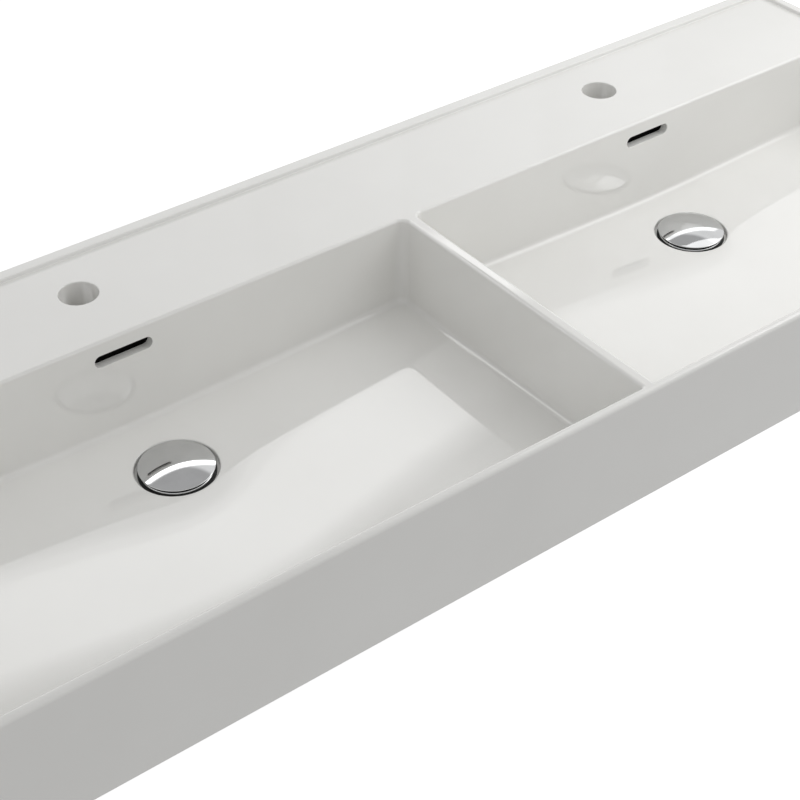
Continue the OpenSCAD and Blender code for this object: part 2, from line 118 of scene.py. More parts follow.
# Tap holes and wall fixings
TAP = mounts["right_tap_hole"]
TAP_R = 0.0175
TAP_EDGE_R = 0.001
TAP_LEDGE_T = 0.025
TAP_BOSS_R = 0.0295
FIXING_R = 0.007
FIXING_X = [0.160, 0.440]

# Drain covers
DOME_H = 0.0048
COVER_EDGE_R = 0.0006
COVER_BOSS_R = 0.006
COVER_BOSS_H = 0.004
COVER_BORE_R = 0.00305
RELIEF_R = [0.009, 0.019]
RELIEF_H = 0.003

# Waste bodies. The tail's thread is G 1 1/4: 11 turns to the inch.
FLANGE_T = 0.0025
NECK_R = 0.0202
TAIL_R = 0.02095
TUBE_BORE_R = 0.01855
CHAMFER = 0.001
WINDOW_W = 0.014
WINDOW_TURNS = [45, 135, 225, 315]
SLEEVE_R = 0.00655
HUB_R = 0.010
HUB_H = 0.005
HUB_DROP = 0.003
ARM_W = 0.005
ARM_INSET = 0.0005
ARM_TURNS = [60, 180, 300]
NUT_GAP = 0.0005
NUT_BEVEL = math.radians(30)
THREAD_GAP = 0.00005
THREAD_PITCH = 0.0254 / 11
THREAD_DEPTH = 0.00116
THREAD_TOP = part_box("right_back_nut")[0].z

FLOOR_Z = DECK_Z - BOWL_DEPTH
SEAT_Z = FLOOR_Z - RECESS_DEPTH
CHAMBER_Z = SEAT_Z - SEAT_T - CHAMBER_H
SLOT_Z = DECK_Z - SLOT_DROP
DUCT_Y0 = -(BOWL_REAR - REAR_WALL_T)
FLAT_R = RECESS_R + RECESS_EDGE_R
BOWL_LOW = Vector((DIVIDER_T / 2, CAST_LOW.y + RIM_T))
BOWL_HIGH = Vector((CAST_HIGH.x - END_LIP_W, -BOWL_REAR))

# Fineness of the surfaces
CORNER_STEPS = 10
ARC_STEPS = 6
FOOT_STEPS = 10
FLOOR_RINGS = 8
SIGHT_STEP = math.radians(3)
LENGTH_STEPS = 24
RAMP_STEPS = 9
RAMP_STEP = 0.0045
REST_SHARES = [0.15, 0.3, 0.45, 0.6, 0.75, 0.9]
FIXING_STEPS = 48
BOSS_STEPS = 64
TURN_STEPS = 96
COVER_STEPS = 128
COVER_EDGE_STEPS = 12
DOME_STEPS = 20
FLANGE_STEPS = 8
THREAD_STEPS = 8
RING_GAP = 1e-5
OVER = 0.001
WELD = 1e-6

# Edges sharper than these angles stay sharp in the shading
CASTING_SHARP = math.radians(30)
COVER_SHARP = math.radians(40)
WASTE_SHARP = math.radians(40)
NUT_SHARP = math.radians(25)
NORMAL_WEIGHT = 100


def steps(count):
    """Even shares from 0 to 1."""
    return [i / count for i in range(count + 1)]


def quarter():
    """The angles of a rounded edge, from 0 to a right angle."""
    return [share * math.pi / 2 for share in steps(ARC_STEPS)]


def both(make):
    """The pieces that a function makes for the right half and then for the mirrored left one."""
    return [piece for mirrored in (False, True) for piece in make(mirrored)]


def mesh_piece(name, made):
    """A piece of the scene from a bmesh, which is freed."""
    bmesh.ops.remove_doubles(made, verts=made.verts, dist=WELD)
    bmesh.ops.recalc_face_normals(made, faces=made.faces)
    mesh = bpy.data.meshes.new(name)
    made.to_mesh(mesh)
    made.free()
    piece = bpy.data.objects.new(name, mesh)
    bpy.context.scene.collection.objects.link(piece)
    return piece


def loft(name, rings, mirrored=False, hollow=False):
    """A closed piece through rings of matched points.

    It has flat ends, or is hollow where its last ring meets its first.
    """
    made = bmesh.new()
    sign = -1 if mirrored else 1
    rows = [[made.verts.new((sign * p[0], p[1], p[2])) for p in ring] for ring in rings]
    for lower, upper in zip(rows, rows[1:] + rows[:1] if hollow else rows[1:]):
        for i, vert in enumerate(lower):
            made.faces.new((lower[i - 1], vert, upper[i], upper[i - 1]))
    if not hollow:
        made.faces.new(rows[0])
        made.faces.new(rows[-1])
    return mesh_piece(name, made)


def circle(axis, radius, height, count):
    """Points round an upright axis. radius is a length, or gives one for an angle."""
    points = []
    for i in range(count):
        a = 2 * math.pi * i / count
        r = radius(a) if callable(radius) else radius
        points.append((axis.x + r * math.cos(a), axis.y + r * math.sin(a), height))
    return points


def lathe(name, profile, axis, count, hollow=False):
    """A closed piece turned about an upright axis, from points of radius and height."""
    rings = [circle(axis, radius, height, count) for radius, height in profile]
    return loft(name, rings, hollow=hollow)


def contour(low, high, radii, runs):
    """Points round a rounded rectangle, anticlockwise, as (place, outward direction, side, turn).

    The sides are in the order front, right, rear, left. radii holds the corner at the far end of
    each side, and runs the places along each side's straight length, as shares of it. turn goes
    from 0 to 1 round the corner to the next side.
    """
    corners = [
        Vector((high.x, low.y)),
        Vector((high.x, high.y)),
        Vector((low.x, high.y)),
        Vector((low.x, low.y)),
    ]
    points = []
    for side in range(4):
        angle = (side - 1) * math.pi / 2
        out = Vector((math.cos(angle), math.sin(angle)))
        along = Vector((-out.y, out.x))
        start = corners[side - 1] + along * radii[side - 1]
        end = corners[side] - along * radii[side]
        points += [(start.lerp(end, share), out, side, 0.0) for share in runs[side]]
        for turn in steps(CORNER_STEPS):
            a = angle + turn * math.pi / 2
            direction = Vector((math.cos(a), math.sin(a)))
            points.append((end + (direction - out) * radii[side], direction, side, turn))
    return points


def ease(share):
    """A share from 0 to 1, eased in and out."""
    share = min(max(share, 0.0), 1.0)
    return share * share * (3 - 2 * share)


def by_side(values, side, turn):
    """A side's value, which passes into the next side's round the corner."""
    share = ease(turn)
    return values[side] * (1 - share) + values[(side + 1) % 4] * share


def inset(low, high, insets):
    """A rectangle moved in on each side by its own amount."""
    return (
        Vector((low.x + insets[DIVIDER], low.y + insets[FRONT])),
        Vector((high.x - insets[END], high.y - insets[REAR])),
    )


def lip_share(y):
    """How much of the lip's height stands at a distance from the wall."""
    return ease((y - BOWL_LOW.y) / LIP_RAMP)


def casting_body():
    """The casting's outside: skirts, rounded edges, deck, and the lip that runs down in front."""
    depth = CAST_HIGH.y - CAST_LOW.y
    forward = [RAMP_STEP * i / depth for i in range(1, RAMP_STEPS + 1)] + REST_SHARES
    across = steps(LENGTH_STEPS)[1:-1]
    runs = [across, forward, across, [1 - share for share in reversed(forward)]]
    outside = contour(CAST_LOW.xy, CAST_HIGH.xy, [OUTER_CORNER_R] * 4, runs)
    rings = []
    for a in reversed(quarter()):
        pull = BASE_EDGE_R * (1 - math.cos(a))
        height = CAST_LOW.z + BASE_EDGE_R * (1 - math.sin(a))
        rings.append([(*(p - out * pull), height) for p, out, side, turn in outside])
    for a in quarter():
        ring = []
        for p, out, side, turn in outside:
            stand = lip_share(p.y)
            edge_r = FRONT_EDGE_R + (LIP_EDGE_R - FRONT_EDGE_R) * stand
            place = p - out * edge_r * (1 - math.cos(a))
            ring.append((*place, DECK_Z + LIP_H * stand - edge_r * (1 - math.sin(a))))
        rings.append(ring)
    crest = [(LIP_EDGE_R * math.sin(a), LIP_H - LIP_EDGE_R * (1 - math.cos(a)))
             for a in quarter()]
    foot = [(LIP_EDGE_R + LIP_FOOT_R * (1 - math.cos(a)), LIP_FOOT_R * (1 - math.sin(a)))
            for a in quarter()]
    for i, (inward, height) in enumerate(crest + foot):
        end = END_LIP_W - LIP_EDGE_R + inward
        rear = LIP_W - LIP_EDGE_R + inward
        front = FRONT_EDGE_R + RING_GAP * (i + 1)
        low, high = inset(CAST_LOW.xy, CAST_HIGH.xy, [front, end, rear, end])
        line = contour(low, high, [LIP_CORNER_R - inward] * 4, runs)
        rings.append([(*p, DECK_Z + height * lip_share(p.y)) for p, out, side, turn in line])
    return loft("casting", rings)


def floor_height(place):
    """Height of a bowl's floor, which falls evenly to the drain."""
    return FLOOR_Z + FLOOR_FALL * max(0.0, (place - DRAIN.xy).length - FLAT_R)


def round_drain(places, radius):
    """Places moved straight towards or away from the drain, onto a circle round it."""
    return [DRAIN.xy + (p - DRAIN.xy).normalized() * radius for p in places]


def bowl_runs(low, high):
    """Places along a bowl's four sides that lie at even angles as seen from the drain."""
    reach = [DRAIN.y - low.y, high.x - DRAIN.x, high.y - DRAIN.y, DRAIN.x - low.x]
    runs = []
    for side in range(4):
        back = math.atan2(reach[side - 1], reach[side])
        ahead = math.atan2(reach[(side + 1) % 4], reach[side])
        count = math.ceil((back + ahead) / SIGHT_STEP)
        angles = [-back + (back + ahead) * share for share in steps(count)[1:-1]]
        length = reach[side - 1] + reach[(side + 1) % 4]
        runs.append([(reach[side - 1] + reach[side] * math.tan(a)) / length for a in angles])
    return runs


def mouth_rings(runs):
    """Rings of a bowl's mouth: one above the casting, and the rounding down to the walls."""
    rings = []
    top = CAST_HIGH.z + OVER
    arc = [WALL_LEAN + (math.pi / 2 - WALL_LEAN) * share for share in reversed(steps(ARC_STEPS))]
    for a in [None] + arc:
        flare = 1.0 if a is None else 1 - math.cos(a)
        low, high = inset(BOWL_LOW, BOWL_HIGH, [-r * flare for r in MOUTH_R])
        grow = [(MOUTH_R[i] + MOUTH_R[(i + 1) % 4]) / 2 * CORNER_FLARE[i] for i in range(4)]
        radii = [BOWL_CORNER_R[i] + grow[i] * flare for i in range(4)]
        ring = []
        for p, out, side, turn in contour(low, high, radii, runs):
            mouth_r = by_side(MOUTH_R, side, turn)
            height = top if a is None else DECK_Z - mouth_r * (1 - math.sin(a)) + WELD
            ring.append((*p, height))
        rings.append(ring)
    return rings


def foot_rings(centres):
    """Rings of the rounding between walls and floor, about a contour of centres."""
    sweeps = []
    for p, out, side, turn in centres:
        away = (p - DRAIN.xy).normalized()
        wall = Vector((*(out * math.cos(WALL_LEAN)), -math.sin(WALL_LEAN)))
        floor = Vector((*(away * FLOOR_FALL), -1)).normalized()
        ball = Vector((*p, floor_height(p) + FOOT_R))
        sweeps.append([ball + FOOT_R * wall.slerp(floor, share) for share in steps(FOOT_STEPS)])
    return [list(ring) for ring in zip(*sweeps)]


def floor_rings(outer):
    """Rings of a bowl's floor from its outer line to the drain, and down to the drain's seat."""
    rings = []
    edge = round_drain(outer, FLAT_R)
    for share in steps(FLOOR_RINGS)[1:]:
        line = [start.lerp(end, share) for start, end in zip(outer, edge)]
        rings.append([(*p, floor_height(p)) for p in line])
    for a in quarter()[1:]:
        radius = FLAT_R - RECESS_EDGE_R * math.sin(a)
        height = FLOOR_Z - RECESS_EDGE_R * (1 - math.cos(a))
        rings.append([(*p, height) for p in round_drain(edge, radius)])
    rings.append([(*p, SEAT_Z) for p in round_drain(edge, RECESS_R)])
    return rings


def bowl_room(mirrored):
    """The room inside a bowl: mouth, leaning walls, rounded foot, falling floor and drain seat."""
    ball_z = floor_height(Vector((DRAIN.x, BOWL_HIGH.y))) + FOOT_R
    pull = [FOOT_R / math.cos(WALL_LEAN) + (DECK_Z - r - ball_z) * math.tan(WALL_LEAN)
            for r in MOUTH_R]
    foot_low, foot_high = inset(BOWL_LOW, BOWL_HIGH, pull)
    runs = bowl_runs(foot_low, foot_high)
    rings = mouth_rings(runs)
    rings += foot_rings(contour(foot_low, foot_high, [FOOT_CORNER_R - FOOT_R] * 4, runs))
    rings += floor_rings([Vector(p[:2]) for p in rings[-1]])
    return loft("bowl_room", rings, mirrored)


def prism(low, high, corner_r, z0, z1, mirrored=False):
    """An upright rounded block between two corners in plan and two heights."""
    line = contour(low, high, [corner_r] * 4, [[0.5]] * 4)
    return loft("block", [[(*p, z) for p, *rest in line] for z in (z0, z1)], mirrored)


def drain_block(half, front, rear, corner_r, z0, z1, mirrored):
    """An upright rounded block as far to the left of the drain as to its right."""
    low = Vector((DRAIN.x - half, front))
    high = Vector((DRAIN.x + half, rear))
    return prism(low, high, corner_r, z0, z1, mirrored)


def axis_of(place, mirrored):
    """An upright axis through a place on the right half, or its mirror image."""
    return Vector((-place.x if mirrored else place.x, place.y))


def hollow_rooms(mirrored):
    """The open hollow below the deck, and the shallow one whose top follows the bowl's floor."""
    low = Vector((DIVIDER_T / 2, CAST_LOW.y + SKIRT_T))
    high = Vector((CAST_HIGH.x - SKIRT_T, -SKIRT_T))
    base = CAST_LOW.z - OVER
    deck_low = Vector((low.x, DUCT_Y0))
    rear = prism(deck_low, high, HOLLOW_CORNER_R, base, DECK_Z - DECK_T, mirrored)
    line = [p for p, *rest in contour(low, high, [HOLLOW_CORNER_R] * 4, bowl_runs(low, high))]
    rings = [
        [(*p, base) for p in line],
        [(*p, floor_height(p) - FLOOR_T) for p in line],
        [(*p, FLOOR_Z - FLOOR_T) for p in round_drain(line, FLAT_R)],
    ]
    return [rear, loft("pan_room", rings, mirrored)]


def inner_casting(mirrored):
    """Bosses round the tap hole and the outlet, and the walls of the overflow duct."""
    bury = DECK_T / 2
    base = CAST_LOW.z
    tap_boss = [(TAP_BOSS_R, DECK_Z - TAP_LEDGE_T), (TAP_BOSS_R, DECK_Z - bury)]
    drain_boss = [(DRAIN_BOSS_R, base), (DRAIN_BOSS_R, FLOOR_Z - bury)]
    return [
        lathe("tap_boss", tap_boss, axis_of(TAP, mirrored), BOSS_STEPS),
        lathe("drain_boss", drain_boss, axis_of(DRAIN, mirrored), TURN_STEPS),
        drain_block(DUCT_W / 2 + DUCT_WALL, DUCT_Y0 - bury / 2, DUCT_Y0 + DUCT_D + DUCT_WALL,
                    DUCT_WALL_R, base, DECK_Z - bury, mirrored),
        drain_block(DUCT_LOW_W / 2 + DUCT_WALL, DRAIN.y, DUCT_Y0,
                    DUCT_WALL_R, base, FLOOR_Z - bury, mirrored),
    ]


def duct_rooms(mirrored):
    """The overflow's duct behind the bowl and below its floor, and the chamber at the outlet."""
    chamber_top = CHAMBER_Z + CHAMBER_H
    chamber = [(CHAMBER_R, CHAMBER_Z), (CHAMBER_R, chamber_top)]
    return [
        drain_block(DUCT_W / 2, DUCT_Y0, DUCT_Y0 + DUCT_D,
                    DUCT_R, CHAMBER_Z, SLOT_Z + SLOT_H / 2 + DUCT_HEAD, mirrored),
        drain_block(DUCT_LOW_W / 2, DRAIN.y, DUCT_Y0 + OVER,
                    DUCT_LOW_R, CHAMBER_Z, chamber_top, mirrored),
        lathe("chamber", chamber, axis_of(DRAIN, mirrored), TURN_STEPS),
    ]


def slot_room(mirrored):
    """The overflow slot: a flat-sided hole with round ends and a softly rounded mouth."""
    run = SLOT_W / 2 - SLOT_H / 2
    depths = [(-FOOT_R, 1.0)]
    depths += [(SLOT_EDGE_R * (1 - math.cos(a)), 1 - math.sin(a)) for a in quarter()]
    depths.append((DUCT_D / 2 + REAR_WALL_T, 0.0))
    rings = []
    for depth, flare in depths:
        radius = SLOT_H / 2 + SLOT_EDGE_R * flare
        ring = []
        for end in (1, -1):
            for share in steps(2 * CORNER_STEPS):
                a = (share - 0.5) * math.pi + (0 if end == 1 else math.pi)
                x = DRAIN.x + end * run + radius * math.cos(a)
                z = SLOT_Z + radius * math.sin(a)
                below = max(0.0, DECK_Z - MOUTH_R[REAR] - z)
                wall_y = BOWL_HIGH.y - below * math.tan(WALL_LEAN)
                ring.append((x, wall_y + depth, z))
        rings.append(ring)
    return loft("slot_room", rings, mirrored)


def fixing_room(x):
    """A wall fixing hole through the rear skirt."""
    ring = []
    for i in range(FIXING_STEPS):
        a = 2 * math.pi * i / FIXING_STEPS
        ring.append((x + FIXING_R * math.cos(a), FIXING_R * math.sin(a)))
    return loft("fixing", [[(px, y, pz) for px, pz in ring] for y in (OVER, -SKIRT_T - OVER)])


def glazed_rooms(mirrored):
    """The bowl, the overflow slot, the outlet, the tap hole and the wall fixing holes."""
    outlet = [(OUTLET_R, CAST_LOW.z - OVER), (OUTLET_R, SEAT_Z + OVER)]
    tap = [(TAP_R + TAP_EDGE_R, DECK_Z + 2 * OVER)]
    for a in quarter():
        radius = TAP_R + TAP_EDGE_R * (1 - math.sin(a))
        tap.append((radius, DECK_Z - TAP_EDGE_R * (1 - math.cos(a)) + WELD))
    tap.append((TAP_R, DECK_Z - TAP_LEDGE_T - OVER))
    return [
        bowl_room(mirrored),
        slot_room(mirrored),
        lathe("outlet", outlet, axis_of(DRAIN, mirrored), TURN_STEPS),
        lathe("tap_hole", tap, axis_of(TAP, mirrored), TURN_STEPS),
        *[fixing_room(-x if mirrored else x) for x in FIXING_X],
    ]


def dress(piece, material):
    """One material all over a piece."""
    piece.data.materials.clear()
    piece.data.materials.append(material)


def combine(piece, operation, tools, material):
    """One exact boolean with closed tools, which are deleted and leave faces in the material."""
    group = bpy.data.collections.new("tools")
    bpy.context.scene.collection.children.link(group)
    for tool in tools:
        dress(tool, material)
        group.objects.link(tool)
    boolean = piece.modifiers.new("boolean", "BOOLEAN")
    boolean.operation = operation
    boolean.operand_type = "COLLECTION"
    boolean.collection = group
    boolean.solver = "EXACT"
    boolean.material_mode = "TRANSFER"
    graph = bpy.context.evaluated_depsgraph_get()
    piece.data = bpy.data.meshes.new_from_object(piece.evaluated_get(graph))
    piece.modifiers.clear()
    for tool in tools:
        bpy.data.objects.remove(tool)
    bpy.data.collections.remove(group)


def smooth(piece, sharp_angle, weighted=False):
    """Smooth shading with edges above an angle kept sharp."""
    made = bmesh.new()
    made.from_mesh(piece.data)
    bmesh.ops.remove_doubles(made, verts=made.verts, dist=WELD)
    for face in made.faces:
        face.smooth = True
    for edge in made.edges:
        edge.smooth = edge.calc_face_angle(math.pi) < sharp_angle
    made.to_mesh(piece.data)
    made.free()
    if weighted:
        normals = piece.modifiers.new("normals", "WEIGHTED_NORMAL")
        normals.keep_sharp = True
        normals.weight = NORMAL_WEIGHT


def make_casting(glaze, bisque, painted_duct_shade):
    """The casting, in place of its CAD solid: glazed, bare below and behind, and painted
    near-black in the ducts as painted shade.
    """
    casting = casting_body()
    dress(casting, glaze)
    combine(casting, "DIFFERENCE", both(hollow_rooms), bisque)
    combine(casting, "UNION", both(inner_casting), bisque)
    # The ducts' inner faces take a near-black colour, which is painted shade for the dark inside
    # them
    combine(casting, "DIFFERENCE", both(duct_rooms), painted_duct_shade)
    combine(casting, "DIFFERENCE", both(glazed_rooms), glaze)
    bare = casting.data.materials.find(bisque.name)
    for face in casting.data.polygons:
        if face.center.y > CAST_HIGH.y - WELD or face.center.z < CAST_LOW.z + WELD:
            face.material_index = bare
    smooth(casting, CASTING_SHARP, weighted=True)
    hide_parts("ceramic_basin")
    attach(casting, "basin")


def make_cover(side, chrome):
    """A domed chrome cover with a rolled rim, and the boss and groove below it."""
    node = side + "_drain_cover"
    low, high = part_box(node)
    radius = (high.x - low.x) / 2
    base = low.z + COVER_BOSS_H
    tilt = 2 * math.atan(DOME_H / (radius - COVER_EDGE_R))
    profile = [
        (0, base + RELIEF_H),
        (COVER_BORE_R, base + RELIEF_H),
        (COVER_BORE_R, low.z),
        (COVER_BOSS_R, low.z),
        (COVER_BOSS_R, base),
        (RELIEF_R[0], base),
        (RELIEF_R[0], base + RELIEF_H),
        (RELIEF_R[1], base + RELIEF_H),
        (RELIEF_R[1], base),
    ]
    for share in steps(COVER_EDGE_STEPS):
        a = -math.pi / 2 + share * (math.pi - tilt)
        out = radius - COVER_EDGE_R + COVER_EDGE_R * math.cos(a)
        profile.append((out, base + COVER_EDGE_R + COVER_EDGE_R * math.sin(a)))
    edge_r, edge_z = profile[-1]
    ball = edge_r / math.sin(tilt)
    for share in steps(DOME_STEPS)[1:]:
        a = tilt * (1 - share)
        profile.append((ball * math.sin(a), edge_z + ball * (math.cos(a) - math.cos(tilt))))
    cover = lathe(side + "_dome", profile, (low + high) / 2, COVER_STEPS)
    dress(cover, chrome)
    smooth(cover, COVER_SHARP)
    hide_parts(node)
    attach(cover, side + "_cover")


def thread_ring(axis, z, fade):
    """One ring of the tail at a height, with its thread standing out by a share."""

    def radius(angle):
        wave = math.cos(2 * math.pi * z / THREAD_PITCH - angle)
        return TAIL_R - THREAD_DEPTH + THREAD_DEPTH * fade * (0.5 + 0.5 * wave)

    return circle(axis, radius, z, TURN_STEPS)


def tail_rings(axis, low_z, top_z):
    """Rings of a rounded helical thread that fades out at both ends."""
    count = math.ceil((top_z - low_z) / THREAD_PITCH * THREAD_STEPS)
    rings = []
    for share in steps(count):
        z = low_z + (top_z - low_z) * share
        fade = ease((z - low_z) / THREAD_PITCH) * ease((top_z - z) / THREAD_PITCH)
        rings.append(thread_ring(axis, z, fade))
    return rings


def spoke(axis, degrees, start, end, width, z0, z1):
    """A square bar that points outward from an upright axis."""
    a = math.radians(degrees)
    out = Vector((math.cos(a), math.sin(a)))
    across = Vector((-out.y, out.x)) * width / 2
    line = [
        axis.xy + out * start - across,
        axis.xy + out * end - across,
        axis.xy + out * end + across,
        axis.xy + out * start + across,
    ]
    return loft("spoke", [[(*p, z) for p in line] for z in (z0, z1)])


def make_waste(side, chrome):
    """The waste's body: flange with a rolled edge, windowed tube, threaded tail, and spider."""
    node = side + "_waste_body"
    low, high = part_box(node)
    axis = (low + high) / 2
    ease_r = FLANGE_T / 2
    flange_r = (high.x - low.x) / 2
    thread_top = THREAD_TOP - NUT_GAP
    above = [(NECK_R, thread_top + CHAMFER / 4), (NECK_R, high.z - FLANGE_T)]
    for share in steps(FLANGE_STEPS):
        a = (share - 0.5) * math.pi
        out = flange_r - ease_r + ease_r * math.cos(a)
        above.append((out, high.z - ease_r + ease_r * math.sin(a)))
    above += [
        (TUBE_BORE_R + CHAMFER, high.z),
        (TUBE_BORE_R, high.z - CHAMFER),
        (TUBE_BORE_R, low.z + CHAMFER / 2),
        (TUBE_BORE_R + CHAMFER / 2, low.z),
    ]
    rings = tail_rings(axis, low.z, thread_top)
    rings += [circle(axis, radius, z, TURN_STEPS) for radius, z in above]
    waste = loft(side + "_waste", rings, hollow=True)
    dress(waste, chrome)
    windows = [spoke(axis, turn, 0.0, TAIL_R + OVER, WINDOW_W, CHAMBER_Z, CHAMBER_Z + CHAMBER_H)
               for turn in WINDOW_TURNS]
    hub_z = CAST_LOW.z - HUB_DROP
    arm_start = (SLEEVE_R + HUB_R) / 2
    arm_end = (TUBE_BORE_R + NECK_R) / 2
    spider = [spoke(axis, turn, arm_start, arm_end, ARM_W,
                    hub_z - HUB_H + ARM_INSET, hub_z - ARM_INSET) for turn in ARM_TURNS]
    hub = [(SLEEVE_R, hub_z - HUB_H), (HUB_R, hub_z - HUB_H), (HUB_R, hub_z), (SLEEVE_R, hub_z)]
    spider.append(lathe("hub", hub, axis, TURN_STEPS, hollow=True))
    combine(waste, "DIFFERENCE", windows, chrome)
    combine(waste, "UNION", spider, chrome)
    smooth(waste, WASTE_SHARP)
    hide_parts(node)
    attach(waste, "basin")


def make_nut(side, brass):
    """The waste's back nut, with bevelled corners and a countersunk bore."""
    node = side + "_back_nut"
    low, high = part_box(node)
    axis = (low + high) / 2
    corner_r = (high.x - low.x) / 2
    flat_r = (high.y - low.y) / 2
    beyond_r = corner_r + OVER
    bevel = (beyond_r - flat_r) * math.tan(NUT_BEVEL)
    nut = loft(side + "_nut", [circle(axis, corner_r, z, 6) for z in (low.z, high.z)])
    dress(nut, brass)
    turned = [
        (flat_r, low.z),
        (beyond_r, low.z + bevel),
        (beyond_r, high.z - bevel),
        (flat_r, high.z),
    ]
    bore_r = NECK_R + THREAD_GAP
    bore = [
        (bore_r + 2 * CHAMFER, low.z - CHAMFER),
        (bore_r, low.z + CHAMFER),
        (bore_r, high.z - CHAMFER),
        (bore_r + 2 * CHAMFER, high.z + CHAMFER),
    ]
    combine(nut, "INTERSECT", [lathe("turned", turned, axis, TURN_STEPS)], brass)
    combine(nut, "DIFFERENCE", [lathe("bore", bore, axis, TURN_STEPS)], brass)
    smooth(nut, NUT_SHARP)
    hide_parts(node)
    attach(nut, "basin")


# Finishes. Each has the shader's own values, two colours mixed by the noise "cloud", a range of
# roughness spread by the noise "wear", and bumps, each with its height and its noise. A noise has
# its waves to the metre, its detail, and its stretch along the axes where it isn't even.
FINISHES = {
    # White glaze: faint clouding, slow waves left by firing, and a very fine orange peel
    "glaze": {
        "values": {"IOR": 1.6},
        "colours": ((0.832, 0.827, 0.803), (0.852, 0.848, 0.825)),
        "cloud": (9, 3),
        "roughness": (0.03, 0.05),
        "wear": (30, 3),
        "bumps": [(0.0001, (7, 1)), (0.000004, (420, 2))],
    },
    # Bare fired clay: matte, slightly warm, with a sandy grain
    "bisque": {
        "values": {},
        "colours": ((0.635, 0.61, 0.57), (0.675, 0.655, 0.615)),
        "cloud": (45, 4),
        "roughness": (0.75, 0.92),
        "wear": (200, 3),
        "bumps": [(0.00006, (900, 4))],
    },
    # Painted shade: the inside of the overflow ducts, painted near-black with a matte grain to
    # stand in for the shade deep inside them
    "painted_duct_shade": {
        "values": {},
        "colours": ((0.010, 0.010, 0.009), (0.022, 0.021, 0.019)),
        "cloud": (60, 3),
        "roughness": (0.7, 0.95),
        "wear": (150, 3),
        "bumps": [(0.00005, (700, 3))],
    },
    # Polished chrome plate with fine wiping marks
    "chrome": {
        "values": {"Metallic": 1.0},
        "colours": ((0.60, 0.605, 0.61), (0.64, 0.645, 0.65)),
        "cloud": (60, 3),
        "roughness": (0.03, 0.07),
        "wear": (500, 4, (1, 6, 1)),
        "bumps": [(0.00002, (35, 1))],
    },
    # Turned brass with fine tool rings and a little tarnish
    "brass": {
        "values": {"Metallic": 1.0},
        "colours": ((0.60, 0.42, 0.18), (0.74, 0.55, 0.27)),
        "cloud": (150, 4),
        "roughness": (0.2, 0.38),
        "wear": (300, 4),
        "bumps": [(0.00001, (260, 2, (1, 1, 12)))],
    },
    # Matte black rubber with a moulded grain
    "rubber": {
        "values": {},
        "colours": ((0.018, 0.018, 0.018), (0.035, 0.035, 0.034)),
        "cloud": (400, 4),
        "roughness": (0.5, 0.75),
        "wear": (600, 3),
        "bumps": [(0.00004, (1500, 3))],
    },
    # Moulded off-white plastic with a faint cloud and grain
    "plastic": {
        "values": {},
        "colours": ((0.74, 0.71, 0.63), (0.80, 0.78, 0.71)),
        "cloud": (80, 3),
        "roughness": (0.35, 0.5),
        "wear": (300, 3),
        "bumps": [(0.00001, (1200, 2))],
    },
    # Drawn stainless steel with marks along its length
    "steel": {
        "values": {"Metallic": 1.0},
        "colours": ((0.50, 0.50, 0.50), (0.60, 0.60, 0.59)),
        "cloud": (200, 3),
        "roughness": (0.22, 0.36),
        "wear": (500, 3, (1, 1, 8)),
        "bumps": [(0.000008, (900, 2, (1, 1, 5)))],
    },
}
# Limits between which a noise mixes the colours, and between which it spreads the roughness
TINT_SPAN = (0.35, 0.65)
VARY_SPAN = (0.3, 0.7)


def finish_base(name, **values):
    """A material and its shader, with values set on the shader's own sockets."""
    material = bpy.data.materials.new(name)
    material.use_nodes = True
    shader = material.node_tree.nodes["Principled BSDF"]
    for socket, value in values.items():
        shader.inputs[socket].default_value = value
    return material, shader


def noise(material, scale, detail, stretch=(1, 1, 1)):
    """A noise field in the part's own coordinates, scale waves to the metre."""
    tree = material.node_tree
    place = tree.nodes.new("ShaderNodeTexCoord")
    mapping = tree.nodes.new("ShaderNodeMapping")
    mapping.inputs["Scale"].default_value = stretch
    field = tree.nodes.new("ShaderNodeTexNoise")
    field.inputs["Scale"].default_value = scale
    field.inputs["Detail"].default_value = detail
    tree.links.new(place.outputs["Object"], mapping.inputs["Vector"])
    tree.links.new(mapping.outputs["Vector"], field.inputs["Vector"])
    return field.outputs["Fac"]


def tint(material, shader, field, dark, light):
    """Base colour between two colours, by a field."""
    ramp = material.node_tree.nodes.new("ShaderNodeValToRGB")
    for element, position, colour in zip(ramp.color_ramp.elements, TINT_SPAN, (dark, light)):
        element.position = position
        element.color = (*colour, 1)
    material.node_tree.links.new(field, ramp.inputs["Fac"])
    material.node_tree.links.new(ramp.outputs["Color"], shader.inputs["Base Color"])


def vary(material, shader, socket, field, low, high):
    """One of the shader's values between two limits, by a field."""
    spread = material.node_tree.nodes.new("ShaderNodeMapRange")
    spread.inputs["From Min"].default_value = VARY_SPAN[0]
    spread.inputs["From Max"].default_value = VARY_SPAN[1]
    spread.inputs["To Min"].default_value = low
    spread.inputs["To Max"].default_value = high
    material.node_tree.links.new(field, spread.inputs["Value"])
    material.node_tree.links.new(spread.outputs["Result"], shader.inputs[socket])


def relief(material, shader, field, height):
    """Bumps of a height in metres, by a field, on top of any that are there."""
    tree = material.node_tree
    bump = tree.nodes.new("ShaderNodeBump")
    bump.inputs["Strength"].default_value = 1
    bump.inputs["Distance"].default_value = height
    if shader.inputs["Normal"].is_linked:
        tree.links.new(shader.inputs["Normal"].links[0].from_socket, bump.inputs["Normal"])
    tree.links.new(field, bump.inputs["Height"])
    tree.links.new(bump.outputs["Normal"], shader.inputs["Normal"])


def make_finish(name, look):
    """A material from its entry in FINISHES."""
    material, shader = finish_base(name, **look["values"])
    tint(material, shader, noise(material, *look["cloud"]), *look["colours"])
    vary(material, shader, "Roughness", noise(material, *look["wear"]), *look["roughness"])
    for height, grain in look["bumps"]:
        relief(material, shader, noise(material, *grain), height)
    return material


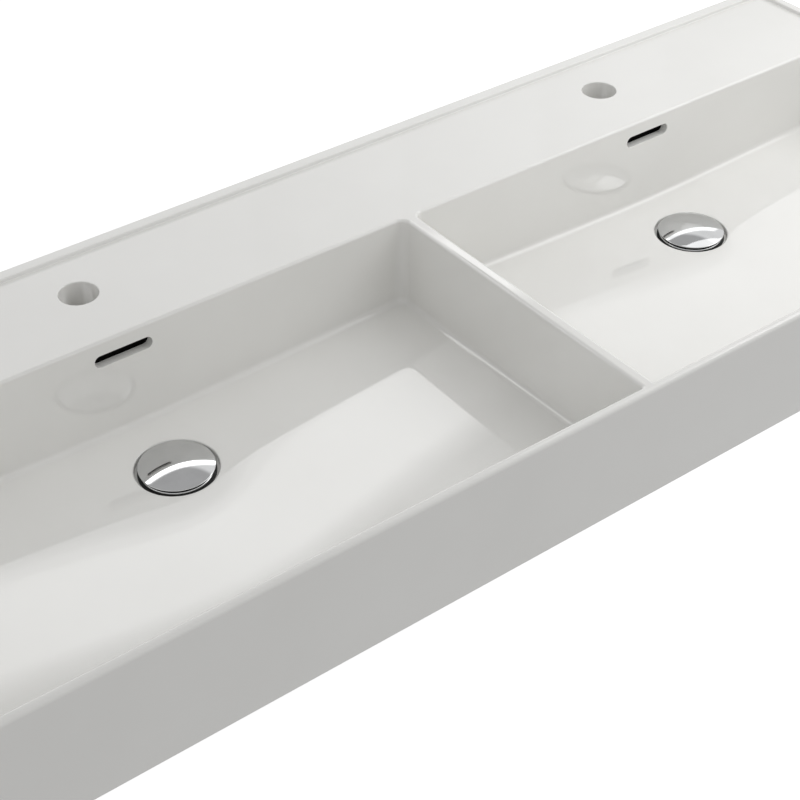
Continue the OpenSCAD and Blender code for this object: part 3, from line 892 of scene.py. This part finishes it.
# Floor and camera. The basin hangs with its rim at the usual height above the floor.
RIM_HEIGHT = 0.86
FLOOR_SPAN = 12.0
FLOOR_ROUGHNESS = 0.9
FLOOR_COLOURS = ((0.48, 0.48, 0.48), (0.52, 0.52, 0.52))
FLOOR_CLOUD = (4, 2)
FLOOR_GLOW = 0.75
CAMERA_PLACE = Vector((-0.81077, -1.19251, 0.88849))
CAMERA_TILT = math.radians(90 - 38.32)
CAMERA_TURN = math.radians(-37.2)
LENS_MM = 77.21
SENSOR_MM = 36.0

# Light: an even fill, and for mirrors a white surrounding that turns grey at an elevation
FILL_LEVEL = 0.59
CEILING_LEVEL = 0.52
CEILING_START = math.radians(46)
CEILING_FULL = math.radians(50)
# Lamps over the basin: name, place, width and watts. They face points on a line along its front,
# each at a share of the lamp's own distance to the side.
LAMPS = [
    ("right", (0.6, -0.35, 0.6), 0.7, 1.36),
    ("front", (0.6, -0.7, 0.8), 0.7, 0.37),
    ("far_right", (1.2, -0.6, 1.0), 0.7, 2.36),
    ("spot", (0.3, -0.3, 0.9), 0.3, 0.2),
]
LAMP_AIM_SHARE = 0.3
LAMP_AIM_Y = -0.25
# Light panels just behind the basin, which show in its gloss only: a bright strip above a dim
# pane. Each is made of overlapping lamps, one behind the other, which soften its edges.
PANEL_Y = 0.12
PANEL_STEP = 0.002
PANEL_LEFT = -0.75
# The strip's lamps: right end, foot, top and brightness
STRIP = [
    (1.05, 0.275, 0.455, 0.45),
    (1.02, 0.290, 0.445, 0.45),
    (0.42, 0.300, 0.435, 0.65),
    (0.38, 0.315, 0.425, 0.70),
]
# The pane's lamps: right end and brightness
PANE = [(1.20, 0.20), (0.60, 0.10), (0.40, 0.10), (0.20, 0.10), (0.00, 0.10)]
PANE_FOOT = 0.060
PANE_TOP = 0.280


def seen_directly(tree):
    """1 for camera, glossy and transmission rays, and 0 for the rest."""
    rays = tree.nodes.new("ShaderNodeLightPath")
    total = rays.outputs["Is Camera Ray"]
    for ray in ("Is Glossy Ray", "Is Transmission Ray"):
        either = tree.nodes.new("ShaderNodeMath")
        either.operation = "MAXIMUM"
        tree.links.new(total, either.inputs[0])
        tree.links.new(rays.outputs[ray], either.inputs[1])
        total = either.outputs[0]
    return total


def make_world():
    """White where it is seen, grey overhead, and an even light on all the rest."""
    world = bpy.data.worlds.new("studio")
    bpy.context.scene.world = world
    world.use_nodes = True
    tree = world.node_tree
    light = tree.nodes["Background"]
    light.inputs["Color"].default_value = (1, 1, 1, 1)
    light.inputs["Strength"].default_value = FILL_LEVEL
    white = tree.nodes.new("ShaderNodeBackground")
    white.inputs["Color"].default_value = (1, 1, 1, 1)
    place = tree.nodes.new("ShaderNodeTexCoord")
    split = tree.nodes.new("ShaderNodeSeparateXYZ")
    ceiling = tree.nodes.new("ShaderNodeMapRange")
    ceiling.inputs["From Min"].default_value = math.sin(CEILING_START)
    ceiling.inputs["From Max"].default_value = math.sin(CEILING_FULL)
    ceiling.inputs["To Min"].default_value = 1
    ceiling.inputs["To Max"].default_value = CEILING_LEVEL
    tree.links.new(place.outputs["Generated"], split.inputs[0])
    tree.links.new(split.outputs["Z"], ceiling.inputs["Value"])
    tree.links.new(ceiling.outputs["Result"], white.inputs["Strength"])
    mix = tree.nodes.new("ShaderNodeMixShader")
    tree.links.new(seen_directly(tree), mix.inputs["Fac"])
    tree.links.new(light.outputs[0], mix.inputs[1])
    tree.links.new(white.outputs[0], mix.inputs[2])
    tree.links.new(mix.outputs[0], tree.nodes["World Output"].inputs["Surface"])


def make_floor():
    """A plain pale floor that reads white where nothing shades it."""
    made = bmesh.new()
    bmesh.ops.create_grid(made, x_segments=1, y_segments=1, size=FLOOR_SPAN / 2)
    floor = mesh_piece("floor", made)
    floor.location.z = DECK_Z - RIM_HEIGHT
    material, shader = finish_base("floor", Roughness=FLOOR_ROUGHNESS)
    tint(material, shader, noise(material, *FLOOR_CLOUD), *FLOOR_COLOURS)
    tree = material.node_tree
    glow = tree.nodes.new("ShaderNodeEmission")
    glow.inputs["Strength"].default_value = FLOOR_GLOW
    lit = tree.nodes.new("ShaderNodeAddShader")
    mix = tree.nodes.new("ShaderNodeMixShader")
    tree.links.new(shader.outputs[0], lit.inputs[0])
    tree.links.new(glow.outputs[0], lit.inputs[1])
    tree.links.new(seen_directly(tree), mix.inputs["Fac"])
    tree.links.new(shader.outputs[0], mix.inputs[1])
    tree.links.new(lit.outputs[0], mix.inputs[2])
    tree.links.new(mix.outputs[0], tree.nodes["Material Output"].inputs["Surface"])
    dress(floor, material)


def add_lamp(name, place, target, size, watts):
    """A soft rectangular lamp that faces a target."""
    lamp = bpy.data.lights.new(name, "AREA")
    lamp.shape = "RECTANGLE"
    lamp.size, lamp.size_y = size
    lamp.energy = watts
    holder = bpy.data.objects.new(name, lamp)
    holder.location = place
    holder.rotation_euler = (Vector(target) - Vector(place)).to_track_quat("-Z", "Y").to_euler()
    holder.visible_camera = False
    bpy.context.scene.collection.objects.link(holder)
    return holder


def add_lamps():
    """The lamps over the basin."""
    for name, place, width, watts in LAMPS:
        target = (place[0] * LAMP_AIM_SHARE, LAMP_AIM_Y, 0)
        add_lamp(name, place, target, (width, width), watts)


def add_panels():
    """The light panels behind the basin."""
    pane = [(right, PANE_FOOT, PANE_TOP, level) for right, level in PANE]
    for i, (right, foot, top, level) in enumerate(STRIP + pane):
        width, height = right - PANEL_LEFT, top - foot
        y = PANEL_Y + PANEL_STEP * i
        place = Vector(((PANEL_LEFT + right) / 2, y, (foot + top) / 2))
        target = place - Vector((0, 1, 0))
        panel = add_lamp("panel", place, target, (width, height), level * math.pi * width * height)
        panel.visible_diffuse = False


def make_camera():
    """The photograph's view."""
    lens = bpy.data.cameras.new("camera")
    lens.sensor_width = SENSOR_MM
    lens.lens = LENS_MM
    camera = bpy.data.objects.new("camera", lens)
    camera.location = CAMERA_PLACE
    camera.rotation_euler = (CAMERA_TILT, 0, CAMERA_TURN)
    bpy.context.scene.collection.objects.link(camera)
    bpy.context.scene.camera = camera


finishes = {name: make_finish(name, look) for name, look in FINISHES.items()}
for subpart in frame["record"]["subparts"]:
    dress(frame["nodes"][subpart["node"]], finishes[subpart["material_slot"]])
make_casting(finishes["glaze"], finishes["bisque"], finishes["painted_duct_shade"])
for side in ("left", "right"):
    make_cover(side, finishes["chrome"])
    make_waste(side, finishes["chrome"])
    make_nut(side, finishes["brass"])

make_world()
make_floor()
add_lamps()
add_panels()
make_camera()
bpy.context.scene.view_settings.view_transform = "Standard"
